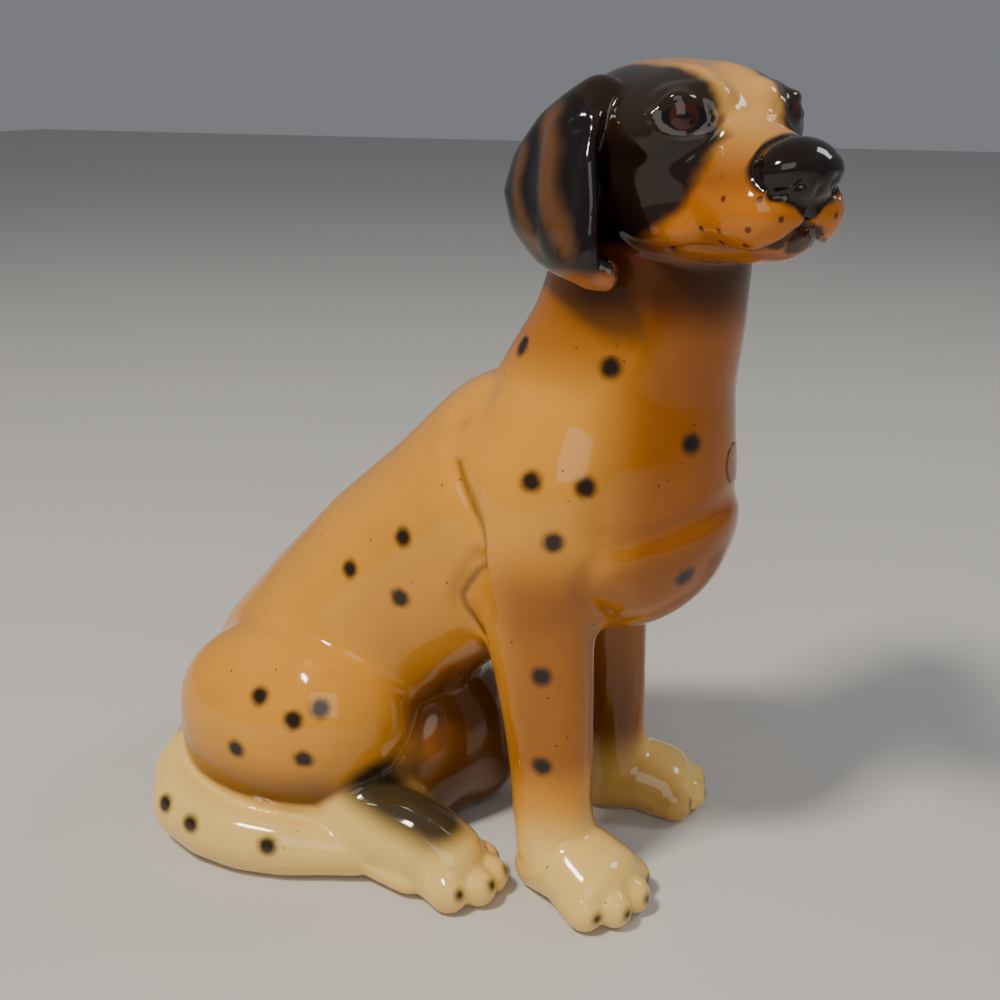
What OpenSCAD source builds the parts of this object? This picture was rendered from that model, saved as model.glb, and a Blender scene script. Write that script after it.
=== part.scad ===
// Sitting hound figurine in slip-cast, glazed earthenware.
// The castings are hollow, butt against each other at luting faces and
// stand on a ground-flat foot plane at z = 0. The dog faces -Y and its
// head is turned towards its right side, -X.

/* [Casting] */
// Height from the foot plane to the crown
total_h = 370; // [300:5:450]
// Wall left by the slip in the mould
wall = 5; // [4:0.5:6]
// Diameter of the kiln vent under the seat
vent_d = 16; // [8:1:24]

/* [Pose] */
// Turn of the head towards the right side
head_turn = 36; // [24:1:40]
// Outward splay of each forepaw
paw_splay = 18; // [5:1:22]

/* [Label] */
// Diameter of the paper label on the breast
label_d = 18; // [12:1:22]
// Thickness of the paper label
label_t = 0.6; // [0.4:0.1:1]

/* [Hidden] */

design_h = 370;                 // height for which the stations are written
size = total_h / design_h;
shift = [5.6, -9, 0];           // puts the middle of the footprint on the origin
eye_point = [-22, -105, 351];
neck_cut = 256;                 // luting face between neck and torso
arm_cut = 118;                  // luting face at the elbow
hip_cut = 40;                   // luting face of the hip, from the midplane
fine = 20;                      // facets round the body and the head
small = 16;                     // facets round the limbs
coarse = 12;                    // facets round the cavities

glaze = [0.86, 0.58, 0.25];
cream = [0.93, 0.76, 0.47];
black = [0.07, 0.06, 0.07];
paper = [0.85, 0.62, 0.36];

// A station is a centre and three radii.
trunk = [
    [[0, 97, 40], [68, 68, 50]],
    [[0, 94, 68], [64, 67, 56]],
    [[0, 75, 97], [59, 59, 54]],
    [[0, 48, 126], [57, 56, 56]],
    [[0, 12, 156], [58, 57, 57]],
    [[0, -15, 186], [57, 56, 53]],
    [[0, -50, 178], [54, 61, 58]],
    [[0, -51, 207], [52, 58, 46]],
    [[0, -54, 236], [46, 53, 28]],
    [[0, -64, 264], [41, 46, 24]],
    [[2, -70, 300], [39, 41, 20]]
];
arm = [
    [[-30, -40, 222], [22, 34, 22]],
    [[-38, -36, 196], [24, 38, 30]],
    [[-40, -34, 168], [24, 34, 26]],
    [[-39, -33, 142], [21, 28, 22]],
    [[-38, -37, 113], [20, 24, 20]],
    [[-38, -40, 85], [19, 21.5, 20]],
    [[-38, -42, 60], [18, 20, 20]],
    [[-39, -43, 38], [18, 19, 20]],
    [[-41, -47, 20], [20, 20, 20]]
];
haunch = [
    [[-50, 76, 71], [41, 46, 41]],
    [[-50, 92, 66], [43, 60, 46]],
    [[-48, 96, 50], [42, 58, 43]]
];
groin = [[0, 46, 30], [54, 34, 44]];
hock = [
    [[-54, 66, 24], [24, 24, 23]],
    [[-62, 38, 23], [21, 22, 21]],
    [[-64, 14, 20], [20, 20, 22]],
    [[-66, -6, 15], [18, 14, 18]]
];
tail_line = [
    [[-16, 148, 34], [20, 18, 20]],
    [[-40, 154, 28], [18, 16, 18]],
    [[-64, 150, 23], [17, 16, 18]],
    [[-82, 137, 19], [16, 16, 18]],
    [[-90, 118, 17], [14, 15, 17]],
    [[-91, 97, 15], [13, 15, 16]],
    [[-87, 76, 14], [12, 14, 15]],
    [[-80, 58, 13], [11, 13, 13]],
    [[-74, 43, 12], [11, 12, 12]]
];

// Paw stations run forward from the ankle: middle, then each toe.
paw = [
    [[0, 6, 12], [18, 14, 16]],
    [[0, -12, 16], [22, 17, 18]],
    [[0, -26, 13], [23, 15, 16]]
];
fore_toes = [[-18, -30], [-7, -38], [7, -38], [18, -30]];
hind_toes = [[-81, -9], [-71, -19], [-60, -20], [-51, -12]];

// Head stations are written from the point between the eyes.
skull = [
    [[3, 60, -22], [38, 32, 30]],
    [[3, 42, -12], [45, 46, 31]],
    [[2, 20, -10], [42, 35, 28]],
    [[0, 6, -8], [39, 18, 22]]
];
muzzle = [
    [[0, 0, -9], [18, 12, 12]],
    [[0, -33, -19], [13, 11, 11]],
    [[-9, 2, -32], [17, 16, 17]],
    [[9, 2, -32], [17, 16, 17]],
    [[-10, -31, -35], [16, 16, 15]],
    [[10, -31, -35], [16, 16, 15]]
];
cheeks = [
    [[0, 6, -20], [34, 18, 22]],
    [[0, 26, -28], [41, 28, 24]],
    [[0, -4, -26], [26, 16, 20]]
];
jaw = [
    [[0, 40, -40], [41, 38, 24]],
    [[0, 16, -43], [31, 28, 15]],
    [[0, -8, -45], [20, 22, 12]],
    [[0, -25, -46], [15, 17, 9]]
];
brow = [
    [[-22, 3, 4], [12, 8, 7]],
    [[-31, 8, 1], [9, 8, 7]]
];
eyeball = [[-23.5, 1, -2], [10, 9.5, 9]];
nose = [[0, -39, -20.5], [18, 12.5, 12.5]];
ear = [
    [[-34, 38, 4], [9, 12, 9]],
    [[-41, 41, -2], [8, 15, 10]],
    [[-47, 44, -11], [8, 21, 13]],
    [[-51, 46, -22], [8, 29, 13]],
    [[-53, 46, -34], [8, 33, 14]],
    [[-54, 42, -44], [8, 30, 13]],
    [[-54, 35, -52], [7, 24, 11]],
    [[-53, 27, -57], [7, 15, 8]],
    [[-52, 23, -60], [6, 9, 5]]
];
far_ear_set = [4, 13, 0];       // the left ear lies further back

function part_of(list, a, b) = [for (i = [a : b]) list[i]];

module blob(s, grow = 0) {
    translate(s[0]) scale([for (r = s[1]) r + grow]) sphere(r = 1);
}

module chain(stations, grow = 0) {
    for (i = [0 : len(stations) - 2])
        hull() {
            blob(stations[i], grow);
            blob(stations[i + 1], grow);
        }
}

// One form drawn tight over all its stations.
module wrap(stations, grow = 0) {
    hull() for (s = stations) blob(s, grow);
}

module above(z) { translate([-300, -300, z]) cube(600); }
module below(z) { translate([-300, -300, z - 600]) cube(600); }
module right_of(x) { translate([x - 600, -300, -300]) cube(600); }

// A hollow stops one wall above the foot plane.
module hollow() {
    difference() {
        children();
        below(wall);
    }
}

module both_sides() {
    children();
    mirror([1, 0, 0]) children();
}

module place() { scale(size) translate(shift) children(); }

module head_frame() {
    translate(eye_point) rotate([0, 0, -head_turn]) children();
}

// Toes fan out from the middle of a paw and are solid.
module toes(centre, tips, grow = 0) {
    for (t = tips)
        hull() {
            blob([[centre[0] + (t[0] - centre[0]) * 0.7, centre[1], 12], [8, 9, 11]], grow);
            blob([[t[0], t[1], 9], [8, 9.5, 9.5]], grow);
        }
}

module hind_foot(grow = 0) {
    chain(hock, grow);
    if (grow >= 0) toes([-64, 4], hind_toes, grow);
}

// The part of the seat that belongs to a hind leg.
module hip_zone() {
    intersection() {
        right_of(-hip_cut);
        union() {
            chain(haunch, 4, $fn = small);
            chain(hock, 2, $fn = small);
        }
    }
}

module seat_form(grow = 0) {
    chain(part_of(trunk, 0, 4), grow);
    chain(haunch, grow);
    hind_foot(grow);
}

module torso_form(grow = 0) {
    chain(trunk, grow);
    blob(groin, grow);
    both_sides() {
        chain(part_of(arm, 0, 5), grow);
        chain(haunch, grow);
        chain(part_of(hock, 0, 1), grow);
    }
}

module torso() {
    color(glaze) place() difference() {
        torso_form();
        hollow() torso_form(-wall, $fn = coarse);
        above(neck_cut);
        below(0);
        both_sides() hip_zone();
        both_sides() intersection() {
            below(arm_cut);
            chain(part_of(arm, 3, 6), 2, $fn = small);
        }
        translate([0, 98, -1]) cylinder(d = vent_d, h = wall * 4, $fn = 48);
    }
}

module head_form(grow = 0) {
    head_frame() {
        chain(skull, grow);
        chain(jaw, grow);
        wrap(muzzle, grow);
        wrap(cheeks, grow);
    }
}

// The hollow also takes up what is left between muzzle, jaw and lips.
module head_hollow() {
    head_form(-wall);
    head_frame() blob([[0, 4, -31], [26, 32, 15]]);
}

module neck_form(grow = 0) { chain(part_of(trunk, 8, 10), grow); }

module head() {
    color(glaze) place() difference() {
        union() {
            head_form();
            neck_form();
            head_frame() {
                both_sides() {
                    chain(brow, 0, $fn = small);
                    blob(eyeball, 0, $fn = small);
                }
                blob(nose, 0, $fn = small);
            }
        }
        head_hollow($fn = coarse);
        neck_form(-wall, $fn = coarse);
        below(neck_cut);
    }
}

module ear_casting() {
    color(black) place() difference() {
        head_frame() children();
        head_form();
        neck_form();
    }
}

module ear_right() { ear_casting() chain(ear, 0, $fn = small); }

module ear_left() {
    ear_casting() translate(far_ear_set) mirror([1, 0, 0]) chain(ear, 0, $fn = small);
}

module foreleg_form(grow = 0) {
    chain(part_of(arm, 3, 8), grow);
    translate([-41, -47, 0]) rotate([0, 0, -paw_splay]) {
        chain(paw, grow);
        if (grow >= 0) toes([0, -14], fore_toes, grow);
    }
}

module foreleg() {
    difference() {
        foreleg_form($fn = small);
        hollow() foreleg_form(-wall, $fn = coarse);
        above(arm_cut);
        below(0);
    }
}

module foreleg_right() { color(glaze) place() foreleg(); }
module foreleg_left() { color(glaze) place() mirror([1, 0, 0]) foreleg(); }

module hind_leg() {
    difference() {
        intersection() {
            seat_form($fn = fine);
            union() {
                hip_zone();
                intersection() {
                    right_of(-hip_cut);
                    hind_foot(2, $fn = small);
                }
            }
        }
        hollow() seat_form(-wall, $fn = coarse);
        below(0);
    }
}

module hind_leg_right() { color(glaze) place() hind_leg(); }
module hind_leg_left() { color(glaze) place() mirror([1, 0, 0]) hind_leg(); }

module tail() {
    color(cream) place() difference() {
        chain(tail_line, 0, $fn = small);
        seat_form();
        below(0);
    }
}

module chest_label() {
    color(paper) place() difference() {
        intersection() {
            torso_form(label_t);
            translate([0, -90, 205]) rotate([90, 0, 0])
                cylinder(d = label_d, h = 60, $fn = 64);
        }
        torso_form();
    }
}

$fn = fine;
torso();
head();
ear_right();
ear_left();
foreleg_right();
foreleg_left();
hind_leg_right();
hind_leg_left();
tail();
chest_label();
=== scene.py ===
import math
import bpy
import bmesh
import numpy as np
from mathutils import Matrix, Vector
from mathutils.bvhtree import BVHTree


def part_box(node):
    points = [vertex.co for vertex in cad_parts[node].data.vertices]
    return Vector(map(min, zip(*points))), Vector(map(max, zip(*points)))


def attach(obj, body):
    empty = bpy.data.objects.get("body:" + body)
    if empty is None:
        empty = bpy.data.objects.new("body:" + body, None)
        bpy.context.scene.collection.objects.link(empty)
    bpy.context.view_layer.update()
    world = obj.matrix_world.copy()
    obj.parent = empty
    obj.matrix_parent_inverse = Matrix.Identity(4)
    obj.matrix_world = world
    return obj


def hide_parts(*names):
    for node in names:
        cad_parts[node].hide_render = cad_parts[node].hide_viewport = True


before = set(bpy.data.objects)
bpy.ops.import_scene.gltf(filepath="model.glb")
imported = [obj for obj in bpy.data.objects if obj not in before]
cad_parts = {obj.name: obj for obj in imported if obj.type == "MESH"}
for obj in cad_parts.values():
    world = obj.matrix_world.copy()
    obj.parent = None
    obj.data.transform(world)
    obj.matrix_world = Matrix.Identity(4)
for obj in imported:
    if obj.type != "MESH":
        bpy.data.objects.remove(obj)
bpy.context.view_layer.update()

# Shapes are laid out in millimetres round the dog's own midplane, and land in the frame at the end.
rightFoot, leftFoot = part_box("foreleg_right"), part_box("foreleg_left")
spineX = 500 * (rightFoot[0][0] + leftFoot[1][0])
toeY = 1000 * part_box("hind_leg_right")[0][1] + 29.4
placed = Vector((spineX, toeY, 0))
neckSeam = 1000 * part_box("head")[0][2]
elbowSeam = 1000 * rightFoot[1][2]
hipSeam = spineX - 1000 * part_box("hind_leg_right")[1][0]

still = Matrix.Identity(4)
flip = Matrix.Diagonal((-1, 1, 1, 1))
bothSides = (still, flip)

# clay tools


def lump(bm, centre, radii, where, detail=4):
    size = Matrix.Diagonal((*radii, 1))
    made = bmesh.ops.create_icosphere(bm, subdivisions=detail, radius=1,
                                      matrix=where @ Matrix.Translation(centre) @ size)
    return made["verts"]


def wrap(mass, lumps, where=still):
    # one mound of clay pulled tight over a few lumps
    bm = bmesh.new()
    for centre, radii in lumps:
        lump(bm, centre, radii, where)
    hull = bmesh.ops.convex_hull(bm, input=bm.verts)
    inside = [v for v in hull["geom_interior"] if isinstance(v, bmesh.types.BMVert)]
    bmesh.ops.delete(bm, geom=inside, context="VERTS")
    bmesh.ops.recalc_face_normals(bm, faces=bm.faces)
    scrap = bpy.data.meshes.new("scrap")
    bm.to_mesh(scrap)
    mass.from_mesh(scrap)
    bpy.data.meshes.remove(scrap)
    bm.free()


def lay(mass, stations, where=still):
    for pair in zip(stations, stations[1:]):
        wrap(mass, pair, where)


def lend(mesh, name, tools):
    # a short-lived object wears the modifiers, and its finished mesh comes back
    holder = bpy.data.objects.new(name, mesh)
    bpy.context.scene.collection.objects.link(holder)
    for kind, values in tools:
        tool = holder.modifiers.new(kind, kind)
        for key, value in values.items():
            setattr(tool, key, value)
    done = bpy.data.meshes.new_from_object(holder.evaluated_get(bpy.context.evaluated_depsgraph_get()))
    bpy.data.objects.remove(holder)
    return done


def knead(mass, grain, rubs):
    # the mounds become one skin
    mesh = bpy.data.meshes.new("clay")
    mass.to_mesh(mesh)
    mass.free()
    melt = {"mode": "VOXEL", "voxel_size": grain, "adaptivity": 0}
    skin = lend(mesh, "clay", [("REMESH", melt), ("SMOOTH", {"factor": 0.5, "iterations": rubs})])
    bpy.data.meshes.remove(mesh)
    return skin


def points(mesh):
    co = np.empty(len(mesh.vertices) * 3, np.float32)
    mesh.vertices.foreach_get("co", co)
    return co.reshape(-1, 3).astype(float)


def normals(mesh):
    no = np.empty(len(mesh.vertices) * 3, np.float32)
    mesh.vertices.foreach_get("normal", no)
    return no.reshape(-1, 3).astype(float)


def setPoints(mesh, co):
    mesh.vertices.foreach_set("co", co.astype(np.float32).ravel())
    mesh.update()


def bend(line, steps=8):
    # a soft curve through a few set points
    line = np.array(line, float)
    if len(line) < 3:
        return line
    ends = np.vstack([2 * line[0] - line[1], line, 2 * line[-1] - line[-2]])
    t = np.linspace(0, 1, steps, endpoint=False)[:, None]
    runs = []
    for a, b, c, d in zip(ends, ends[1:], ends[2:], ends[3:]):
        runs.append(0.5 * (2 * b + (c - a) * t + (2 * a - 5 * b + 4 * c - d) * t ** 2
                           + (3 * b - a - 3 * c + d) * t ** 3))
    return np.vstack(runs + [line[-1:]])


def reach(co, path):
    # distance from each point to the curve
    best = np.full(len(co), 1e9)
    for a, b in zip(path, path[1:]):
        run = b - a
        t = np.clip((co - a) @ run / max(run @ run, 1e-9), 0, 1)
        best = np.minimum(best, np.linalg.norm(co - a - t[:, None] * run, axis=1))
    return best


def fall(distance, width):
    return np.clip(1 - (distance / width) ** 2, 0, 1) ** 2


def stroke(mesh, line, width, height, sides=bothSides):
    # a thumb or a tool drawn along a line: height is up for clay added and down for clay pressed in
    for side in sides:
        path = bend([side @ Vector(p) for p in line])
        co, no = points(mesh), normals(mesh)
        near = np.all((co > path.min(0) - width) & (co < path.max(0) + width), axis=1)
        push = height * fall(reach(co[near], path), width)
        co[near] += no[near] * push[:, None]
        setPoints(mesh, co)


def dab(mesh, spot, width, height, sides=bothSides):
    stroke(mesh, [spot, Vector(spot) + Vector((0, 0, 0.01))], width, height, sides)


# the body's masses
body = {  # stations are a centre and three radii, toes are places on the floor
    "trunk": [
        ((0, 97, 40), (68, 68, 50)), ((0, 94, 68), (64, 67, 56)), ((0, 75, 97), (59, 59, 54)),
        ((0, 48, 126), (57, 56, 56)), ((0, 12, 156), (58, 57, 57)), ((0, -15, 186), (57, 56, 53)),
        ((0, -50, 178), (54, 61, 58)), ((0, -51, 207), (52, 58, 46)), ((0, -54, 236), (46, 53, 28)),
        ((0, -64, 264), (41, 46, 24)), ((2, -70, 300), (39, 41, 20))],
    "upperArm": [
        ((-30, -40, 222), (22, 34, 22)), ((-38, -36, 196), (24, 38, 30)), ((-40, -34, 168), (24, 34, 26)),
        ((-39, -33, 142), (21, 28, 22)), ((-38, -37, 113), (20, 24, 20))],
    "lowerArm": [
        ((-38, -37, 113), (20, 24, 20)), ((-38, -40, 85), (19, 21.5, 20)), ((-38, -42, 60), (18, 20, 20)),
        ((-39, -43, 38), (18, 19, 20)), ((-41, -47, 20), (20, 20, 20))],
    "haunch": [((-50, 76, 71), (41, 46, 41)), ((-50, 92, 66), (43, 60, 46)), ((-48, 96, 50), (42, 58, 43))],
    "groin": [((0, 46, 30), (54, 34, 44)), ((6, 36, 42), (44, 34, 42)), ((16, 27, 22), (34, 26, 26))],
    "hock": [
        ((-54, 66, 24), (24, 24, 23)), ((-62, 38, 23), (21, 22, 21)),
        ((-64, 14, 20), (20, 20, 22)), ((-66, -6, 15), (18, 14, 18))],
    "soleLobe": [((-70, 30, 9), (12, 15, 9)), ((-74, 14, 8), (11, 12, 8))],
    "tailLine": [
        ((-16, 148, 34), (20, 18, 20)), ((-40, 154, 28), (18, 16, 18)), ((-64, 150, 23), (17, 16, 18)),
        ((-82, 137, 19), (16, 16, 18)), ((-90, 118, 17), (14, 15, 17)), ((-91, 97, 15), (13, 15, 16)),
        ((-87, 76, 14), (12, 14, 15)), ((-80, 58, 13), (11, 13, 13)), ((-74, 43, 12), (11, 12, 12))],
    "pawMass": [((0, 6, 12), (18, 14, 16)), ((0, -12, 16), (22, 17, 18)), ((0, -26, 13), (23, 15, 16))],
    "foreToes": [(-18, -30), (-7, -38), (7, -38), (18, -30)],
    "hindToes": [(-81, -9), (-71, -19), (-60, -20), (-51, -12)],
}
pawFrame = Matrix.Translation((-41, -47, 0)) @ Matrix.Rotation(math.radians(-18), 4, "Z")


def layToes(mass, centre, tips, where):
    for x, y in tips:
        heel = ((centre[0] + (x - centre[0]) * 0.7, centre[1], 12), (8, 9, 11))
        wrap(mass, [heel, ((x, y, 9), (8, 9.5, 9.5))], where)


bodyMass = bmesh.new()
lay(bodyMass, body["trunk"])
for side in bothSides:
    for limb in ("upperArm", "lowerArm", "haunch", "hock"):
        lay(bodyMass, body[limb], side)
lay(bodyMass, body["groin"])
bodySkin = knead(bodyMass, grain=2.0, rubs=40)
tailMass = bmesh.new()
lay(tailMass, body["tailLine"])
tailSkin = knead(tailMass, grain=1.6, rubs=30)
bodyMass = bmesh.new()
bodyMass.from_mesh(bodySkin)
bodyMass.from_mesh(tailSkin)
for side in bothSides:
    lay(bodyMass, body["pawMass"], side @ pawFrame)
    layToes(bodyMass, (0, -14), body["foreToes"], side @ pawFrame)
    lay(bodyMass, body["soleLobe"], side)
    layToes(bodyMass, (-64, 4), body["hindToes"], side)
bodySkin = knead(bodyMass, grain=1.4, rubs=8)
print("body skin", len(bodySkin.vertices))

# creases and folds that the maker pressed into the body
bodyLines = {
    "shoulder": [(-35, 5, 220), (-50, 0, 205), (-60, -15, 180), (-60, -15, 165)],
    "elbow": [(-60, -15, 165), (-55, -5, 145), (-50, -10, 125)],
    "arm": [(-60, -34, 190), (-62, -30, 170), (-58, -36, 150)],
    "breast": [(-50, -70, 180), (-45, -85, 180), (-30, -100, 185), (0, -110, 190)],
    "armpit": [(-45, -75, 175), (-50, -65, 170), (-50, -60, 155), (-40, -65, 140)],
    "haunchFold": [(-80, 108, 98), (-84, 92, 95), (-80, 74, 94)],
    "haunchCrest": [(-64, 100, 106), (-62, 78, 107), (-60, 58, 101), (-55, 42, 88), (-48, 36, 68)],
}
stroke(bodySkin, bodyLines["shoulder"], 10, -1.6)
stroke(bodySkin, bodyLines["shoulder"][1:], 5, -2)
stroke(bodySkin, bodyLines["elbow"], 8, -2.2)
stroke(bodySkin, bodyLines["arm"], 20, 1.6)
chestFold = bodyLines["breast"] + [(-x, y, z) for x, y, z in reversed(bodyLines["breast"][:3])]
stroke(bodySkin, chestFold, 9, -1, (still,))
stroke(bodySkin, [(x, y, z - 12) for x, y, z in chestFold], 16, 1.1, (still,))
stroke(bodySkin, bodyLines["armpit"], 8, -1.6)
stroke(bodySkin, bodyLines["haunchFold"], 12, -0.8)
stroke(bodySkin, bodyLines["haunchCrest"], 12, 1.6)

# the head is laid out from a point midway between the eyes: x to its left, -y forwards
headFrame = Matrix.Translation((-22, -105, 351)) @ Matrix.Rotation(math.radians(-36), 4, "Z")
intoHead = headFrame.inverted()
headShape = {
    "skull": [
        ((3, 60, -22), (38, 32, 30)), ((3, 42, -12), (45, 46, 31)), ((2, 20, -10), (42, 35, 28)),
        ((0, 6, -8), (39, 18, 22))],
    "muzzle": [
        ((0, 0, -9), (18, 12, 12)), ((0, -33, -19), (13, 11, 11)), ((-9, 2, -32), (17, 16, 17)),
        ((9, 2, -32), (17, 16, 17)), ((-10, -31, -35), (16, 16, 15)), ((10, -31, -35), (16, 16, 15))],
    "cheeks": [((0, 6, -20), (34, 18, 22)), ((0, 26, -28), (41, 28, 24)), ((0, -4, -26), (26, 16, 20))],
    "jaw": [
        ((0, 40, -40), (41, 38, 24)), ((0, 16, -43), (31, 28, 15)), ((0, -8, -45), (20, 22, 12)),
        ((0, -25, -46), (15, 17, 9))],
    "lipCorner": [((-20, 2, -42), (10, 14, 10)), ((-24, 18, -42), (12, 14, 12))],
    "nose": ((0, -39, -20.5), (18, 12.5, 12.5)),
    "eyeball": ((-23.5, 1, -2), (10, 9.5, 9)),
    "ear": [
        ((-34, 38, 4), (9, 12, 9)), ((-41, 41, -2), (8, 15, 10)), ((-47, 44, -11), (8, 21, 13)),
        ((-51, 46, -22), (8, 29, 13)), ((-53, 46, -34), (8, 33, 14)), ((-54, 42, -44), (8, 30, 13)),
        ((-54, 35, -52), (7, 24, 11)), ((-53, 27, -57), (7, 15, 8)), ((-52, 23, -60), (6, 9, 5))],
    "earLobe": [((-49, 22, -60), (5.5, 10, 8)), ((-46, 14, -61), (5, 7, 7))],
}
farEarFrame = Matrix.Translation((4, 15, 4)) @ flip

headMass = bmesh.new()
upper = bmesh.new()
upper.from_mesh(bodySkin)
bmesh.ops.bisect_plane(upper, geom=upper.verts[:] + upper.edges[:] + upper.faces[:], dist=1e-5,
                       plane_co=(0, 0, neckSeam - 20), plane_no=(0, 0, 1), clear_inner=True)
bmesh.ops.holes_fill(upper, edges=[e for e in upper.edges if e.is_boundary], sides=0)
neckMesh = bpy.data.meshes.new("neck")
upper.to_mesh(neckMesh)
upper.free()
neckMesh.transform(intoHead)
lay(headMass, headShape["skull"])
wrap(headMass, headShape["muzzle"])
wrap(headMass, headShape["cheeks"])
lay(headMass, headShape["jaw"])
for side in bothSides:
    lay(headMass, headShape["lipCorner"], side)
headSkin = knead(headMass, grain=1.4, rubs=24)
headMass = bmesh.new()
headMass.from_mesh(headSkin)
headMass.from_mesh(neckMesh)
headSkin = knead(headMass, grain=1.4, rubs=6)

earMass = bmesh.new()
lay(earMass, headShape["ear"])
lay(earMass, headShape["earLobe"])
earSkin = knead(earMass, grain=1.2, rubs=24)
headMass = bmesh.new()
headMass.from_mesh(headSkin)
lump(headMass, *headShape["nose"], still)
for side in bothSides:
    lump(headMass, *headShape["eyeball"], side)
for side in (still, farEarFrame):
    headMass.from_mesh(earSkin)
    newVerts = headMass.verts[-len(earSkin.vertices):]
    if side is not still:
        bmesh.ops.transform(headMass, matrix=side, verts=newVerts)
        bmesh.ops.reverse_faces(headMass, faces=list({f for v in newVerts for f in v.link_faces}))
headSkin = knead(headMass, grain=1.1, rubs=6)
print("head skin", len(headSkin.vertices))

def settle(mesh, line):
    # a line laid down onto the surface
    tree = BVHTree.FromPolygons([v.co for v in mesh.vertices], [p.vertices for p in mesh.polygons])
    return [tree.find_nearest(Vector(p))[0] for p in bend(line, 3)]


lidTop = [(-15, -11, -3), (-19.5, -10.5, 3.5), (-26, -8, 5.6), (-32.5, -2.5, 3.6), (-36, 2, -2.5)]
lidLow = [(-15, -11, -4), (-21, -10, -8.4), (-28, -6, -9.6), (-33.5, -1, -7.4), (-36, 2, -3)]
stroke(headSkin, [(-13, -8, 8), (-22, -7, 12), (-32, 1, 11)], 11, 2.8)
stroke(headSkin, [(x, y, z + 1.2) for x, y, z in lidTop], 4, 1.7)
stroke(headSkin, lidLow, 3, 0.7)
stroke(headSkin, [(x, y, z + 6) for x, y, z in lidTop[1:4]], 2.8, -1.2)
stroke(headSkin, [(-17, -12, -15), (-28, -7, -17)], 9, -0.8)
stroke(headSkin, [(0, 24, 18), (0, 4, 14), (0, -11, 4)], 10, -1.6, (still,))
dab(headSkin, (-13.5, -11.5, -4), 3, -1.2)
# nose: rim, nostrils and the groove down to the lip
stroke(headSkin, [(-15, -40, -31), (-19, -38, -21), (-15, -36, -11), (-6, -36, -8)], 3.2, -0.7)
stroke(headSkin, [(-8, -50.5, -24), (-11, -49, -27), (-15.5, -44.5, -28)], 3.4, -2.4)
stroke(headSkin, [(-4, -52, -17), (-11, -49, -17), (-17, -43, -20)], 5, 0.6)
stroke(headSkin, [(0, -52, -26), (0, -49, -33), (0, -46, -40)], 3, -2, (still,))
# mouth: an upside-down V under the nose, then back along the flews
lips = [(0, -46, -39), (-7, -45, -45), (-15, -36, -50), (-20, -18, -52), (-23, -4, -51), (-22, 5, -48)]
lips = settle(headSkin, lips)
stroke(headSkin, lips, 3.4, -2.2)
stroke(headSkin, lips[:7], 2.6, -1.6)
stroke(headSkin, [(x * 1.1, y, z + 7) for x, y, z in lips[6:13]], 9, 1)
stroke(headSkin, [(-24, 8, -46), (-26, 14, -44)], 6, -0.8)
# the ear's rolled front edge, the two folds down its leaf and its hollow
earLines = [
    ([(-44, 26, -4), (-50, 20, -18), (-52, 14, -34), (-54, 13, -48), (-54, 16, -58)], 5, 1.5),
    ([(-50, 28, -8), (-56, 25, -22), (-59, 22, -38), (-59, 24, -50)], 7, -1.4),
    ([(-52, 38, -8), (-59, 35, -24), (-61, 33, -40), (-60, 33, -50)], 9, 1.2),
    ([(-56, 50, -14), (-60, 50, -28), (-61, 46, -40)], 10, -1)]
for line, width, height in earLines:
    stroke(headSkin, line, width, height, (still,))
headSkin.transform(headFrame)

# the neck keeps the body's own surface at the seam, and leaves it softly above
bodyTree = BVHTree.FromPolygons([v.co for v in bodySkin.vertices], [p.vertices for p in bodySkin.polygons])
co = points(headSkin)
for i in np.flatnonzero((co[:, 2] > neckSeam - 12) & (co[:, 2] < neckSeam + 22)):
    place, normal, face, gap = bodyTree.find_nearest(co[i], 6)
    if place is not None:
        hold = np.clip((neckSeam + 22 - co[i, 2]) / 20, 0, 1)
        co[i] += (np.array(place) - co[i]) * hold * hold * (3 - 2 * hold)
setPoints(headSkin, co)

# the skins are cut into the castings they were luted from
far = 400


def slab(low, high, tilt=None):
    # a plain cutting box, with a sloping top where one is given
    bm = bmesh.new()
    middle = (Vector(low) + Vector(high)) / 2
    size = Vector(high) - Vector(low)
    bmesh.ops.create_cube(bm, size=1, matrix=Matrix.Translation(middle) @ Matrix.Diagonal((*size, 1)))
    if tilt:
        bmesh.ops.bisect_plane(bm, geom=bm.verts[:] + bm.edges[:] + bm.faces[:], dist=1e-5,
                               plane_co=tilt[0], plane_no=tilt[1], clear_outer=True)
        bmesh.ops.holes_fill(bm, edges=[e for e in bm.edges if e.is_boundary], sides=0)
        bmesh.ops.recalc_face_normals(bm, faces=bm.faces)
    mesh = bpy.data.meshes.new("cutter")
    bm.to_mesh(mesh)
    bm.free()
    return mesh


def carve(mesh, cutter, how):
    knife = bpy.data.objects.new("knife", cutter)
    bpy.context.scene.collection.objects.link(knife)
    cut = lend(mesh, "carved", [("BOOLEAN", {"solver": "MANIFOLD", "operation": how, "object": knife})])
    bpy.data.objects.remove(knife)
    return cut


def split(mesh, cutter):
    return carve(mesh, cutter, "INTERSECT"), carve(mesh, cutter, "DIFFERENCE")


def hairline(back, top, foot, width=0.01):
    # a cut as thin as a hair: level at the top, then down at the back
    bm = bmesh.new()
    outline = [(-far, top), (back, top), (back, foot), (back + width, foot), (back + width, top + width),
               (-far, top + width)]
    face = bm.faces.new([bm.verts.new((-far, y, z)) for y, z in outline])
    grown = bmesh.ops.extrude_face_region(bm, geom=[face])
    moved = [v for v in grown["geom"] if isinstance(v, bmesh.types.BMVert)]
    bmesh.ops.translate(bm, verts=moved, vec=(2 * far, 0, 0))
    bmesh.ops.recalc_face_normals(bm, faces=bm.faces)
    mesh = bpy.data.meshes.new("cutter")
    bm.to_mesh(mesh)
    bm.free()
    return mesh


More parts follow.
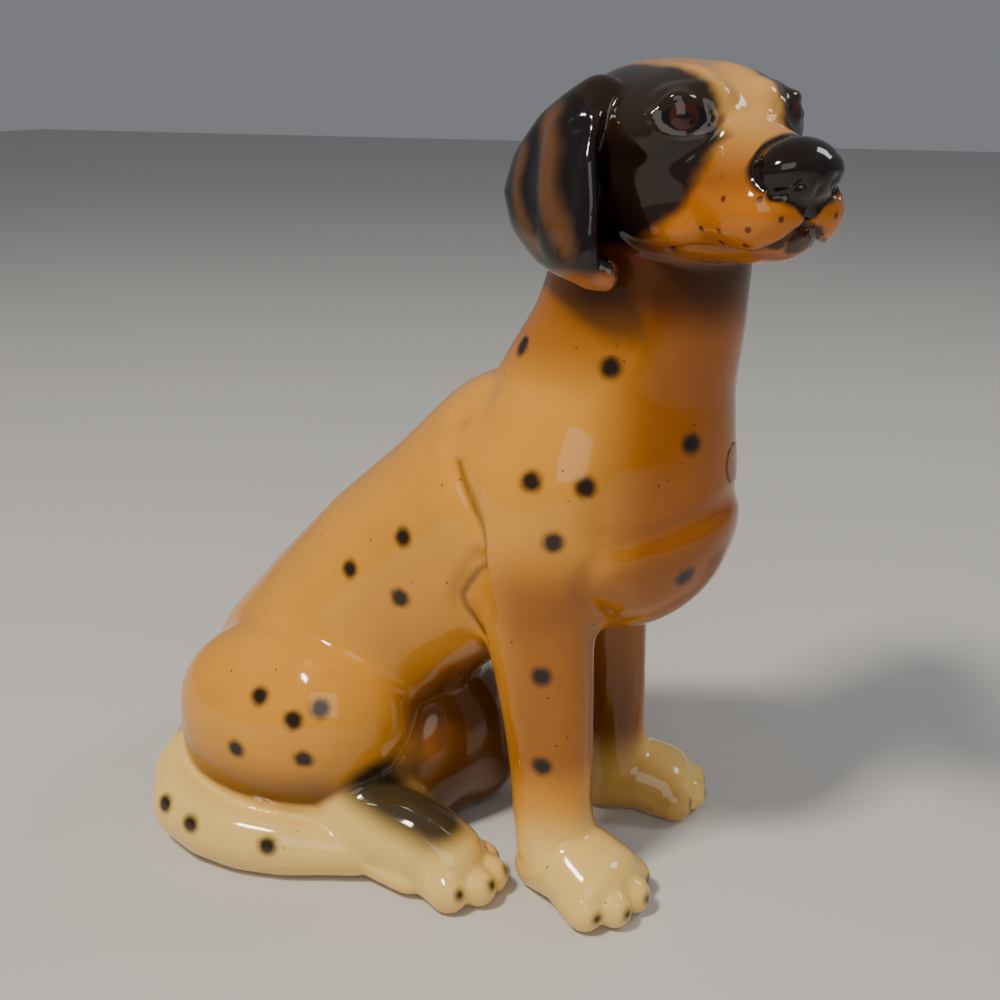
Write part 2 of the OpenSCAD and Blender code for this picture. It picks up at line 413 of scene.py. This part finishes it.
def takeLoose(mesh, near):
    # lift out the loose part that lies nearest a point
    bm = bmesh.new()
    bm.from_mesh(mesh)
    start = min(bm.verts, key=lambda v: (v.co - Vector(near)).length_squared)
    found, edge = {start}, [start]
    while edge:
        edge = [e.other_vert(v) for v in edge for e in v.link_edges]
        edge = [v for v in set(edge) if v not in found]
        found.update(edge)
    chosen = {v.index for v in found}
    parts = []
    for inside in (True, False):
        part = bm.copy()
        part.verts.index_update()
        others = [v for v in part.verts if (v.index in chosen) != inside]
        bmesh.ops.delete(part, geom=others, context="VERTS")
        out = bpy.data.meshes.new("part")
        part.to_mesh(out)
        part.free()
        parts.append(out)
    bm.free()
    return parts


castings = {}
grounded = carve(bodySkin, slab((-far, -far, 0), (far, far, neckSeam)), "INTERSECT")
tailZone = bmesh.new()
lay(tailZone, [(c, Vector(r) + Vector((3, 3, 3))) for c, r in body["tailLine"]])
castings["tail"], rest = split(grounded, knead(tailZone, grain=2.4, rubs=6))
# the forelegs stand free below the belly, so a hairline over them and behind them sets them loose
rest = carve(rest, hairline(-9, elbowSeam, 60), "DIFFERENCE")
legPair, rest = takeLoose(rest, (-38, -42, 60))
castings["foreleg_right"], castings["foreleg_left"] = split(legPair, slab((-far, -far, -5), (0, far, far)))
slope = (Vector((0, 0, 105)), Vector((0, -0.6, 0.8)))
for name, sign in (("right", -1), ("left", 1)):
    near, wide = sorted((sign * hipSeam, sign * far))
    hipBox = slab((near, -60, -5), (wide, far, far), slope)
    castings["hind_leg_" + name], rest = split(rest, hipBox)
castings["torso"], crumbs = takeLoose(rest, (0, -110, 190))
headPart = carve(headSkin, slab((-far, -far, neckSeam), (far, far, 2 * far)), "INTERSECT")
earBox = slab((-far, 4, -68), (-46, far, 40))
earBox.transform(headFrame)
castings["ear_right"], headPart = split(headPart, earBox)
farEarBox = slab((46, 4, -68), (far, far, 40))
farEarBox.transform(headFrame)
castings["ear_left"], castings["head"] = split(headPart, farEarBox)
for name, mesh in castings.items():
    print("cast", name, len(mesh.vertices))


# every casting carries masks, in millimetres or as 0 to 1, for its glaze to read


def ease(value, low, high):
    t = np.clip((value - low) / (high - low), 0, 1)
    return t * t * (3 - 2 * t)


def onSkin(tree, place):
    return np.array(tree.find_nearest(place)[0])


headTree = BVHTree.FromPolygons([v.co for v in headSkin.vertices], [p.vertices for p in headSkin.polygons])
spotLayout = {
    "radius": 4.6, "clawRadius": 2.6, "whiskerRadius": 1.25,
    # each area: how far out to the dog's right it lies, then places along the body and up it
    "nape": (-30, [(-20, 255), (-65, 250)]),
    "breast": (-30, [(-100, 220), (-100, 160)]),
    "shoulder": (-60, [(-40, 205), (-65, 205), (-50, 180)]),
    "foreleg": (-60, [(-45, 115), (-45, 70)]),
    "flank": (-60, [(25, 170), (55, 150), (25, 140)]),
    "haunch": (-90, [(50, 95), (85, 95), (65, 85), (60, 65), (95, 65)]),
    "tailStations": (3, 4, 6),
    "left": [(40, -40, 250), (35, -90, 230), (25, -100, 170), (60, -35, 210), (55, -60, 190), (60, -35, 120),
             (55, -50, 80), (55, 20, 175), (55, 50, 160), (60, 30, 135), (10, 60, 190), (20, 110, 150),
             (85, 90, 95), (75, 50, 95), (90, 65, 85), (90, 100, 65), (85, 60, 60), (30, 160, 80)],
    "claws": [(-85, -18, 13), (-72, -28, 13), (-58, -29, 13), (-48, -22, 12)],
}
clawMarks = [Vector(c) for c in spotLayout["claws"]]
clawMarks += [pawFrame @ Vector((x * 1.06, y - 9, 10)) for x, y in body["foreToes"]]
spotAreas = ("nape", "breast", "shoulder", "foreleg", "flank", "haunch")
spotPlaces = [(spotLayout[area][0], *place) for area in spotAreas for place in spotLayout[area][1]]
tailSpots = [body["tailLine"][step][0] for step in spotLayout["tailStations"]]
spotPlaces += [Vector(c) + Vector((-15, 0, 8)) for c in tailSpots]
spotMarks = [onSkin(bodyTree, c) for c in spotPlaces + spotLayout["left"]]
spotMarks += [onSkin(bodyTree, side @ c) for c in clawMarks for side in bothSides]
creaseRun = np.array(settle(bodySkin, bodyLines["shoulder"][1:] + bodyLines["elbow"][1:]))
clawCount = 2 * len(clawMarks)
spotSizes = [spotLayout["radius"]] * (len(spotMarks) - clawCount) + [spotLayout["clawRadius"]] * clawCount
whiskerRows = [(2, (-18, -40, -30), (-24, -28, -30)), (4, (-13, -46, -36), (-25, -16, -42)),
               (2, (-20, -36, -46), (-22, -24, -47))]
whiskers = [Vector(a).lerp(Vector(b), step / (count - 1))
            for count, a, b in whiskerRows for step in range(count)]
whiskerMarks = [onSkin(headTree, headFrame @ side @ Vector(c)) for c in whiskers for side in bothSides]
lipRun = np.array([intoHead @ Vector(onSkin(headTree, headFrame @ Vector(p))) for p in lips])
labelSpot = (Vector(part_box("chest_label")[0]) + Vector(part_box("chest_label")[1])) * 500 - placed
labelPlace, labelFacing = bodyTree.find_nearest(labelSpot)[:2]


def nearest(co, marks, sizes):
    best = np.full(len(co), 50.0)
    for mark, size in zip(marks, sizes):
        best = np.minimum(best, np.linalg.norm(co - mark, axis=1) - size)
    return best


def bodyMasks(co):
    x, y, z = np.abs(co[:, 0]), co[:, 1], co[:, 2]
    toTail = reach(co, bend([c for c, r in body["tailLine"]]))
    footRun = bend([(-54, 60, 20), (-62, 38, 20), (-65, 12, 16), (-68, -12, 10)])
    toFoot = np.minimum(reach(co, footRun), reach(co, footRun * (-1, 1, 1)))
    saddleRun = bend([(-62, 40, 43), (-66, 22, 40), (-67, 4, 35)])
    toSaddle = np.minimum(reach(co, saddleRun), reach(co, saddleRun * (-1, 1, 1)))
    foreFoot = ease(-y, 10, 24) * (1 - ease(z, 22, 52)) * (x < 80)
    tailCream = (1 - ease(toTail, 19, 24)) * (1 - ease(z, 44, 58))
    cream = np.maximum.reduce([foreFoot, tailCream, 1 - ease(toFoot, 24, 30)])
    # deeper orange-brown paint on the neck front and the leg fronts, kept darker as painted shade; on the
    # belly and low at the hip this brown is painted shade on the undersides
    neckFront = ease(-y, 52, 88) * ease(z, 118, 150)
    throat = ease(z, 232, 262) * 0.8
    legFront = 0.85 * ease(-y, 8, 40) * ease(z, 45, 75) * (1 - ease(z, 150, 185))
    bellyShade = 0.9 * (1 - ease(z, 95, 150)) * (1 - ease(x, 30, 50)) * (1 - ease(y, 60, 110))
    hipFoot = 0.85 * (1 - ease(z, 24, 60)) * ease(y, 30, 50)
    brownAndShade = np.maximum.reduce([neckFront, throat, legFront, bellyShade, hipFoot]) * (1 - cream)
    # painted shade in umber: under the jaw, on the inner sides of the legs and belly, on the far hind foot,
    # and low on the haunch, where it also carries real brown airbrush
    lowHaunch = (1 - ease(z, 34, 66)) * ease(y, 30, 60) * ease(x, 40, 60)
    underJawShade = ease(z, 256, 282) * (1 - ease(z, 302, 308)) * ease(-y, 20, 60)
    inner = (1 - ease(x, 26, 44)) * (1 - ease(z, 60, 130)) * (1 - ease(y, 60, 110))
    farFootShade = (1 - ease(x, 50, 62)) * ease(y, -8, 12) * (1 - ease(z, 40, 60))
    # the cream is dimmed as painted shade on the inner sides and on the far hind foot
    cream = cream * (1 - 0.6 * np.maximum(inner, farFootShade))
    shade = np.maximum.reduce([0.85 * lowHaunch * (1 - cream), underJawShade, 0.75 * inner, 0.8 * farFootShade])
    return {
        "cream": cream, "brownAndShade": brownAndShade, "shade": shade,
        "soot": 1 - ease(toSaddle, 8, 21),
        # painted shade: a dark line drawn along the shoulder and elbow crease
        "creaseShade": 1.3 - reach(co * np.where(co[:, :1] > 0, (-1, 1, 1), (1, 1, 1)), creaseRun),
        "spot": nearest(co, spotMarks, spotSizes),
    }


faceMarks = {
    "patchMiddle": (30, -15), "patchReach": (43, 37), "patchRise": (14, 8), "patchSlope": 34, "blaze": 14.5,
    "eyeMiddle": (-25.3, -5, -2.4), "eyeRun": (-0.86, 0.51, 0), "eyeHalf": 10.5, "lidHeights": (5, 5.4),
    "noseMiddle": (-39, -20.5), "nosePad": (18.5, 13, 13.2), "noseMargin": 0.13, "lowLid": 1.1,
}


def headMasks(co):
    inHead = np.array(intoHead)
    head = co @ inHead[:3, :3].T + inHead[:3, 3]
    x, y, z = np.abs(head[:, 0]), head[:, 1], head[:, 2]
    right = np.stack([-x, y, z], axis=1)
    brow = ease(z, -16, 2)
    middle = faceMarks["patchMiddle"]
    grown = np.outer(brow, faceMarks["patchRise"]) + faceMarks["patchReach"]
    patch = 1 - np.hypot((y - middle[0]) / grown[:, 0], (z - middle[1]) / grown[:, 1])
    mask = np.minimum(patch * faceMarks["patchSlope"], x - faceMarks["blaze"])
    # eye: along runs from the inner to the outer corner, up is the head's up
    along = (right - faceMarks["eyeMiddle"]) @ np.array(faceMarks["eyeRun"])
    lift = z - faceMarks["eyeMiddle"][2] - 0.02 * along
    opening = np.where(lift > 0, *faceMarks["lidHeights"]) * (1 - (along / faceMarks["eyeHalf"]) ** 2)
    opening = opening - np.abs(lift)
    opening = np.where((x < 40) & (y < 8), opening, -20)
    iris = np.hypot(along - 1, lift - 0.6)
    inFront = y < -30
    offNose = np.stack([x, y - faceMarks["noseMiddle"][0], z - faceMarks["noseMiddle"][1]], axis=1)
    pad = (1 + faceMarks["noseMargin"] - np.linalg.norm(offNose / faceMarks["nosePad"], axis=1)) * 14
    wedge = np.clip(12 + (z + 28) * 1.1, 1.4, 12) - x
    wedge = np.where((z < -26) & (z > -39) & (y < -40), wedge, -9)
    noseMask = np.where(inFront, np.maximum(pad, wedge), -20)
    lip = 2.8 - 1.2 * ease(y, -44, -8) - reach(right, lipRun)
    lip = np.maximum(lip, 4 - reach(right, np.array([(-1, -44, -43), (-2, -41, -46)])))
    chin = (z < -46) & (y < -30) & (x < 14)
    return {
        "mask": mask, "opening": opening, "iris": iris, "nose": noseMask, "lip": lip,
        "lowLid": faceMarks["lowLid"] - reach(right, bend(lidLow[1:])),
        "whisker": nearest(co, whiskerMarks, [spotLayout["whiskerRadius"]] * len(whiskerMarks)),
        "jowl": ease(-y, -22, 6) * (1 - ease(z, -34, -22)) * ease(z, -60, -54),
        "blush": np.where(chin, 1.0, 0.0) * ease(-z, 47, 50),
        "tan": ease(z, -26, 4) * ease(-y, -60, 10),
        # painted shade: a dark red-brown band under the back of the jaw
        "jawShade": ease(y, 0, 16) * (1 - ease(z, -46, -26)) * ease(z, -66, -56),
    }


def earMasks(co):
    inHead = np.array(intoHead)
    head = co @ inHead[:3, :3].T + inHead[:3, 3]
    outer = np.abs(head[:, 0])
    flat = head * (0, 1, 1)
    shift = np.where(head[:, 0] > 0, 13, 0)
    flat[:, 1] -= shift
    first = reach(flat, bend([(0, 45, -4), (0, 38, -16), (0, 35, -30), (0, 27, -42), (0, 22, -50)]))
    second = reach(flat, bend([(0, 59, -18), (0, 60, -30), (0, 54, -42), (0, 42, -52)]))
    lining = (1 - ease(flat[:, 2], -64, -57)) * (1 - ease(flat[:, 1], 24, 34))
    return {"stripe": 5.5 - first, "stripeTwo": 3.6 - second, "lining": lining * (outer < 62)}


def brand(mesh, masks):
    for key, values in masks.items():
        layer = mesh.attributes.new(key, "FLOAT", "POINT")
        layer.data.foreach_set("value", values.astype(np.float32))


def seamless(mesh, tree, skin):
    # cut faces go flat, and along a cut the glaze keeps the whole skin's own normals
    soft = np.empty(len(mesh.polygons), bool)
    for face in mesh.polygons:
        place, normal, index, gap = tree.find_nearest(face.center)
        soft[face.index] = gap < 0.12 and face.normal.dot(normal) > 0.75
    mesh.polygons.foreach_set("use_smooth", soft)
    mesh.update()
    onCut = {v for face in mesh.polygons if not soft[face.index] for v in face.vertices}
    corners = [Vector(c.vector) for c in mesh.corner_normals]
    for face in mesh.polygons:
        if soft[face.index]:
            for loop, vert in zip(face.loop_indices, face.vertices):
                if vert in onCut:
                    corners[loop] = skinNormal(skin, tree, mesh.vertices[vert].co)
    mesh.normals_split_custom_set(corners)


def skinNormal(skin, tree, place):
    face = skin.polygons[tree.find_nearest(place)[2]]
    total = Vector()
    for vert in face.vertices:
        total += skin.vertices[vert].normal / ((skin.vertices[vert].co - place).length + 0.05)
    return total.normalized()


def deliver(mesh, name, material):
    mesh.transform(Matrix.Diagonal((0.001, 0.001, 0.001, 1)) @ Matrix.Translation(placed))
    mesh.materials.clear()
    mesh.materials.append(material)
    piece = bpy.data.objects.new(name + "_glazed", mesh)
    bpy.context.scene.collection.objects.link(piece)
    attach(piece, "root")
    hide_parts(name)
    return piece


# node helpers for the glazes


def wire(tree, start, end):
    tree.links.new(start, end)


def node(tree, kind, **values):
    made = tree.nodes.new(kind)
    for key, value in values.items():
        setattr(made, key, value)
    return made


def arith(tree, operation, a, b=None, c=None, clamp=False):
    made = node(tree, "ShaderNodeMath", operation=operation, use_clamp=clamp)
    for socket, value in zip(made.inputs, (a, b, c)):
        if value is None:
            continue
        if isinstance(value, (int, float)):
            socket.default_value = value
        else:
            wire(tree, value, socket)
    return made.outputs[0]


def group(name, ins, outs):
    made = bpy.data.node_groups.new(name, "ShaderNodeTree")
    for label, kind, value in ins:
        socket = made.interface.new_socket(name=label, in_out="INPUT", socket_type=kind)
        if value is not None:
            socket.default_value = value
    for label, kind in outs:
        made.interface.new_socket(name=label, in_out="OUTPUT", socket_type=kind)
    return made, made.nodes.new("NodeGroupInput"), made.nodes.new("NodeGroupOutput")


def noiseIn(tree, vector, scale, detail=2, rough=0.5):
    made = node(tree, "ShaderNodeTexNoise")
    made.inputs["Scale"].default_value = scale
    made.inputs["Detail"].default_value = detail
    made.inputs["Roughness"].default_value = rough
    wire(tree, vector, made.inputs["Vector"])
    return made.outputs["Fac"]


# a brushed edge: a distance in millimetres becomes a mask with a soft and slightly wandering border
brushEdge, ask, give = group(
    "brushEdge",
    [("Vector", "NodeSocketVector", None), ("Inside", "NodeSocketFloat", 0),
     ("Softness", "NodeSocketFloat", 1),
     ("Wander", "NodeSocketFloat", 0.5), ("Grain", "NodeSocketFloat", 120)],
    [("Mask", "NodeSocketFloat")])
grain = node(brushEdge, "ShaderNodeTexNoise")
grain.inputs["Detail"].default_value = 3
wire(brushEdge, ask.outputs["Vector"], grain.inputs["Vector"])
wire(brushEdge, ask.outputs["Grain"], grain.inputs["Scale"])
centred = arith(brushEdge, "SUBTRACT", grain.outputs["Fac"], 0.5)
stray = arith(brushEdge, "MULTIPLY", centred, ask.outputs["Wander"])
moved = arith(brushEdge, "ADD", ask.outputs["Inside"], stray)
ramp = node(brushEdge, "ShaderNodeMapRange", interpolation_type="SMOOTHSTEP")
wire(brushEdge, moved, ramp.inputs["Value"])
wire(brushEdge, arith(brushEdge, "MULTIPLY", ask.outputs["Softness"], -1), ramp.inputs["From Min"])
wire(brushEdge, ask.outputs["Softness"], ramp.inputs["From Max"])
wire(brushEdge, ramp.outputs["Result"], give.inputs["Mask"])

# kiln marks: pinholes, iron specks and a faint uneven tone
kilnMarks, ask, give = group(
    "kilnMarks",
    [("Vector", "NodeSocketVector", None), ("Specks", "NodeSocketFloat", 0.5)],
    [("Pits", "NodeSocketFloat"), ("Tone", "NodeSocketFloat"), ("Stain", "NodeSocketFloat"),
     ("Height", "NodeSocketFloat")])
cells = node(kilnMarks, "ShaderNodeTexVoronoi")
cells.inputs["Scale"].default_value = 150
wire(kilnMarks, ask.outputs["Vector"], cells.inputs["Vector"])
scatter = arith(kilnMarks, "GREATER_THAN", noiseIn(kilnMarks, ask.outputs["Vector"], 55), 0.6)
tiny = node(kilnMarks, "ShaderNodeMapRange", interpolation_type="SMOOTHSTEP")
wire(kilnMarks, cells.outputs["Distance"], tiny.inputs["Value"])
tiny.inputs["From Min"].default_value = 0.13
tiny.inputs["From Max"].default_value = 0.06
pits = arith(kilnMarks, "MULTIPLY", tiny.outputs["Result"], scatter)
pits = arith(kilnMarks, "MULTIPLY", pits, ask.outputs["Specks"])
wire(kilnMarks, pits, give.inputs["Pits"])
wire(kilnMarks, noiseIn(kilnMarks, ask.outputs["Vector"], 16, 4, 0.6), give.inputs["Tone"])
stain = node(kilnMarks, "ShaderNodeMapRange", interpolation_type="SMOOTHSTEP")
wire(kilnMarks, noiseIn(kilnMarks, ask.outputs["Vector"], 34, 6, 0.7), stain.inputs["Value"])
stain.inputs["From Min"].default_value = 0.6
stain.inputs["From Max"].default_value = 0.74
wire(kilnMarks, stain.outputs["Result"], give.inputs["Stain"])
wave = noiseIn(kilnMarks, ask.outputs["Vector"], 42, 1, 0.4)
height = arith(kilnMarks, "SUBTRACT", arith(kilnMarks, "MULTIPLY", wave, 1.6), pits)
wire(kilnMarks, height, give.inputs["Height"])

glazes = {
    "honey": (0.7, 0.3, 0.03), "deep": (0.27, 0.065, 0.001), "cream": (0.9, 0.6, 0.17),
    "fawn": (0.7, 0.38, 0.1), "rust": (0.07, 0.015, 0.004), "black": (0.003, 0.003, 0.004),
    "soot": (0.012, 0.012, 0.012), "orange": (0.56, 0.17, 0.006), "pink": (0.3, 0.09, 0.06),
    "iris": (0.045, 0.008, 0.004), "lid": (0.08, 0.077, 0.075), "leafTan": (0.13, 0.055, 0.018),
    # umber is the colour of painted shade, in the crease and on the shaded undersides
    "umberShade": (0.035, 0.009, 0.001),
    "earDark": (0.008, 0.005, 0.005), "lining": (0.42, 0.13, 0.03),
}


class Brush:
    # lays one colour over another in a material's node tree
    def __init__(self, name, base):
        self.paint = bpy.data.materials.new(name)
        self.paint.use_nodes = True
        self.tree = self.paint.node_tree
        self.skin = self.tree.nodes["Principled BSDF"]
        place = node(self.tree, "ShaderNodeTexCoord").outputs["Object"]
        self.place = place
        self.marks = node(self.tree, "ShaderNodeGroup", node_tree=kilnMarks)
        wire(self.tree, place, self.marks.inputs["Vector"])
        start = node(self.tree, "ShaderNodeRGB")
        start.outputs[0].default_value = (*glazes[base], 1)
        self.colour = start.outputs[0]

    def read(self, key):
        return node(self.tree, "ShaderNodeAttribute", attribute_name=key).outputs["Fac"]

    def over(self, colour, amount, strength=1):
        mix = node(self.tree, "ShaderNodeMix", data_type="RGBA")
        wire(self.tree, arith(self.tree, "MULTIPLY", amount, strength, clamp=True), mix.inputs["Factor"])
        wire(self.tree, self.colour, mix.inputs["A"])
        mix.inputs["B"].default_value = (*glazes[colour], 1)
        self.colour = mix.outputs["Result"]

    def edge(self, colour, inside, softness, wander, grainSize=120, strength=1):
        edge = node(self.tree, "ShaderNodeGroup", node_tree=brushEdge)
        wire(self.tree, self.place, edge.inputs["Vector"])
        wire(self.tree, inside, edge.inputs["Inside"])
        edge.inputs["Softness"].default_value = softness
        edge.inputs["Wander"].default_value = wander
        edge.inputs["Grain"].default_value = grainSize
        self.over(colour, edge.outputs["Mask"], strength)
        return edge.outputs["Mask"]

    def finish(self, specks=0.8, gloss=0.06):
        self.marks.inputs["Specks"].default_value = specks
        tone = node(self.tree, "ShaderNodeMapRange")
        wire(self.tree, self.marks.outputs["Tone"], tone.inputs["Value"])
        tone.inputs["From Min"].default_value = 0.3
        tone.inputs["From Max"].default_value = 0.7
        tone.inputs["To Min"].default_value = 0.9
        tone.inputs["To Max"].default_value = 1.08
        shade = node(self.tree, "ShaderNodeVectorMath", operation="SCALE")
        wire(self.tree, self.colour, shade.inputs[0])
        wire(self.tree, tone.outputs["Result"], shade.inputs["Scale"])
        self.colour = shade.outputs[0]
        self.over("rust", self.marks.outputs["Stain"], 0.22 * specks)
        self.over("rust", self.marks.outputs["Pits"], 0.9)
        wire(self.tree, self.colour, self.skin.inputs["Base Color"])
        rough = node(self.tree, "ShaderNodeMapRange")
        wire(self.tree, self.marks.outputs["Tone"], rough.inputs["Value"])
        rough.inputs["To Min"].default_value = gloss
        rough.inputs["To Max"].default_value = gloss + 0.07
        wire(self.tree, rough.outputs["Result"], self.skin.inputs["Roughness"])
        bump = node(self.tree, "ShaderNodeBump")
        bump.inputs["Strength"].default_value = 0.35
        bump.inputs["Distance"].default_value = 0.0004
        wire(self.tree, self.marks.outputs["Height"], bump.inputs["Height"])
        wire(self.tree, bump.outputs["Normal"], self.skin.inputs["Normal"])
        self.skin.inputs["IOR"].default_value = 1.52
        self.skin.inputs["Specular IOR Level"].default_value = 0.4
        self.skin.inputs["Coat Weight"].default_value = 0.12
        self.skin.inputs["Coat Roughness"].default_value = 0.03
        return self.paint


def bodyGlaze(name):
    brush = Brush(name, "honey")
    # the brown layer is partly paint and partly painted shade, the umber layer is painted shade with some
    # real airbrush low on the haunch, and the crease line is painted shade
    brush.over("deep", brush.read("brownAndShade"), 0.9)
    brush.over("umberShade", brush.read("shade"), 0.9)
    brush.edge("umberShade", brush.read("creaseShade"), 2, 2, 90, 0.75)
    brush.over("cream", brush.read("cream"), 0.95)
    brush.over("soot", brush.read("soot"), 0.95)
    inside = arith(brush.tree, "MULTIPLY", brush.read("spot"), -1)
    brush.edge("black", inside, 2.4, 2, 260, 0.97)
    return brush.finish()


def faceGlaze():
    brush = Brush("faceGlaze", "honey")
    brush.over("deep", brush.read("brownAndShade"), 0.9)
    # painted shade under the jaw, in umber and in a dark red-brown band
    brush.over("umberShade", brush.read("shade"), 0.9)
    brush.over("fawn", brush.read("tan"), 0.8)
    brush.over("orange", brush.read("jowl"), 0.75)
    brush.over("rust", brush.read("jawShade"), 0.85)
    brush.edge("black", brush.read("mask"), 3.2, 5, 90, 0.97)
    brush.over("pink", brush.read("blush"), 0.7)
    brush.edge("black", brush.read("nose"), 1.3, 1, 120, 0.98)
    brush.edge("black", brush.read("lip"), 0.9, 0.5, 200, 0.9)
    brush.edge("black", brush.read("opening"), 0.5, 0.2, 200, 0.95)
    ring = arith(brush.tree, "SUBTRACT", 5.4, brush.read("iris"))
    inEye = arith(brush.tree, "MINIMUM", ring, brush.read("opening"))
    brush.edge("iris", inEye, 0.5, 0.3, 300)
    pupil = arith(brush.tree, "SUBTRACT", 2.1, brush.read("iris"))
    brush.edge("black", pupil, 1, 0.3, 300, 0.85)
    brush.edge("lid", brush.read("lowLid"), 0.6, 0.4, 200, 0.6)
    dots = arith(brush.tree, "MULTIPLY", brush.read("whisker"), -1)
    brush.edge("rust", dots, 0.5, 0.5, 400, 0.95)
    inside = arith(brush.tree, "MULTIPLY", brush.read("spot"), -1)
    brush.edge("black", inside, 1.1, 1.6, 260, 0.97)
    return brush.finish(0.5)


def earGlaze():
    brush = Brush("earGlaze", "earDark")
    brush.edge("leafTan", brush.read("stripe"), 4, 4, 70, 0.85)
    brush.edge("leafTan", brush.read("stripeTwo"), 3.4, 4, 70, 0.75)
    brush.over("lining", brush.read("lining"), 0.9)
    return brush.finish(0.3)


print("painting")
bodyPaint, facePaint, earPaint = bodyGlaze("bodyGlaze"), faceGlaze(), earGlaze()
for name, mesh in castings.items():
    onHead = name == "head" or name.startswith("ear")
    seamless(mesh, headTree if onHead else bodyTree, headSkin if onHead else bodySkin)
    co = points(mesh)
    if name.startswith("ear"):
        brand(mesh, earMasks(co))
    else:
        brand(mesh, bodyMasks(co))
    if name == "head":
        brand(mesh, headMasks(co))
    paint = earPaint if name.startswith("ear") else facePaint if name == "head" else bodyPaint
    deliver(mesh, name, paint)
    print(name, len(mesh.vertices))

# the maker's round label on the chest, with its lettering left off
labelCut = {"radius": 9, "rings": 8, "lift": 0.25, "thick": 0.3}
disc = bmesh.new()
turn = Vector(labelFacing).to_track_quat("Z", "Y").to_matrix().to_4x4()
bmesh.ops.create_circle(disc, cap_ends=True, segments=48, radius=labelCut["radius"],
                        matrix=Matrix.Translation(labelPlace) @ turn)
for step in range(labelCut["rings"] - 1):
    inner = max(disc.faces, key=lambda f: len(f.verts))
    bmesh.ops.inset_individual(disc, faces=[inner], thickness=labelCut["radius"] / labelCut["rings"])
for vert in disc.verts:
    hit, facing = bodyTree.find_nearest(vert.co)[:2]
    vert.co = hit + facing * labelCut["lift"]
bmesh.ops.recalc_face_normals(disc, faces=disc.faces)
if next(iter(disc.faces)).normal.dot(labelFacing) < 0:
    bmesh.ops.reverse_faces(disc, faces=disc.faces)
bmesh.ops.solidify(disc, geom=disc.faces[:], thickness=labelCut["thick"])
labelMesh = bpy.data.meshes.new("label")
disc.to_mesh(labelMesh)
disc.free()
co = points(labelMesh)
brand(labelMesh, {"fromMiddle": np.linalg.norm(co - np.array(labelPlace), axis=1)})
labelMesh.shade_smooth()
brush = Brush("labelFilm", "deep")
outerRing = arith(brush.tree, "SUBTRACT", 8.4, brush.read("fromMiddle"))
innerRing = arith(brush.tree, "SUBTRACT", brush.read("fromMiddle"), 7.4)
brush.edge("rust", arith(brush.tree, "MINIMUM", outerRing, innerRing), 0.2, 0.15, 500, 0.95)
deliver(labelMesh, "chest_label", brush.finish(0.3, 0.12))
print("label")

# floor, lights and camera
floor = bmesh.new()
bmesh.ops.create_grid(floor, x_segments=2, y_segments=2, size=6)
floorMesh = bpy.data.meshes.new("floor")
floor.to_mesh(floorMesh)
floor.free()
floorPiece = bpy.data.objects.new("floor", floorMesh)
bpy.context.scene.collection.objects.link(floorPiece)
floorPaint = bpy.data.materials.new("floorPaint")
floorPaint.use_nodes = True
floorPaint.node_tree.nodes["Principled BSDF"].inputs["Base Color"].default_value = (0.6, 0.59, 0.57, 1)
floorPaint.node_tree.nodes["Principled BSDF"].inputs["Roughness"].default_value = 0.75
floorMesh.materials.append(floorPaint)

world = bpy.data.worlds.new("studio")
bpy.context.scene.world = world
world.use_nodes = True
world.node_tree.nodes["Background"].inputs["Color"].default_value = (0.9, 0.93, 1, 1)
world.node_tree.nodes["Background"].inputs["Strength"].default_value = 0.22


lights = {
    "keyLight": {"place": (-1.1, 0.45, 2.0), "aim": (0, 0, 0.18), "size": 0.35,
                 "watts": 42, "tint": (1, 0.93, 0.8)},
    "rimLight": {"place": (0.9, -1.2, 1.5), "aim": (0, 0, 0.2), "size": 0.5,
                 "watts": 7, "tint": (1, 0.97, 0.93)},
    "fillLight": {"place": (-1.8, -0.9, 1.3), "aim": (0, 0, 0.15), "size": 1.4,
                  "watts": 12, "tint": (1, 0.97, 0.92)},
}


def softbox(name, place, aim, size, watts, tint):
    lamp = bpy.data.lights.new(name, "AREA")
    lamp.shape = "RECTANGLE"
    lamp.size = size
    lamp.size_y = size
    lamp.energy = watts
    lamp.color = tint
    holder = bpy.data.objects.new(name, lamp)
    holder.location = place
    holder.rotation_euler = (Vector(aim) - Vector(place)).to_track_quat("-Z", "Y").to_euler()
    bpy.context.scene.collection.objects.link(holder)


for name, values in lights.items():
    softbox(name, **values)

view = {"place": (-510, -230, 365), "aim": (0.8611, 0.3908, -0.3253), "lens": 45, "sensor": 36}
camera = bpy.data.cameras.new("camera")
camera.lens = view["lens"]
camera.sensor_width = view["sensor"]
camera.clip_start = 0.05
cameraRig = bpy.data.objects.new("camera", camera)
cameraRig.location = [(at + view["place"][i]) / 1000 for i, at in enumerate((spineX, toeY, 0))]
cameraRig.rotation_euler = Vector(view["aim"]).to_track_quat("-Z", "Y").to_euler()
bpy.context.scene.collection.objects.link(cameraRig)
bpy.context.scene.camera = cameraRig
